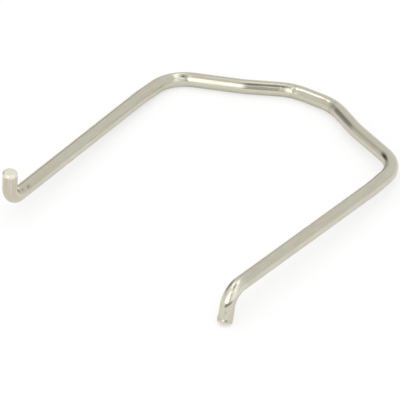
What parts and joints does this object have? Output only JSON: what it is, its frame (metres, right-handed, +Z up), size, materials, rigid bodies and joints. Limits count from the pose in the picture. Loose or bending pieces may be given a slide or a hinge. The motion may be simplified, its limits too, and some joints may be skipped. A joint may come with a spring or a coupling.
{
  "type": "bent-wire retaining circlip",
  "caption": "Round spring wire bent flat into a U with an arched back; the two leg tips turn into short hooks, one up and one down, to retain a push-in coupling.",
  "frame": {"origin": "on the surface it lies on, under the middle of its box", "axes": "+Z up from that surface, +Y from the open ends of the legs to the arched back, +X to the leg whose hook turns down"},
  "size_m": [0.0588, 0.0726, 0.0126],
  "materials": {
    "spring_wire": "satin drawn wire"
  },
  "bodies": {
    "root": {"wire_clip": "spring_wire"}
  },
  "joints": []
}
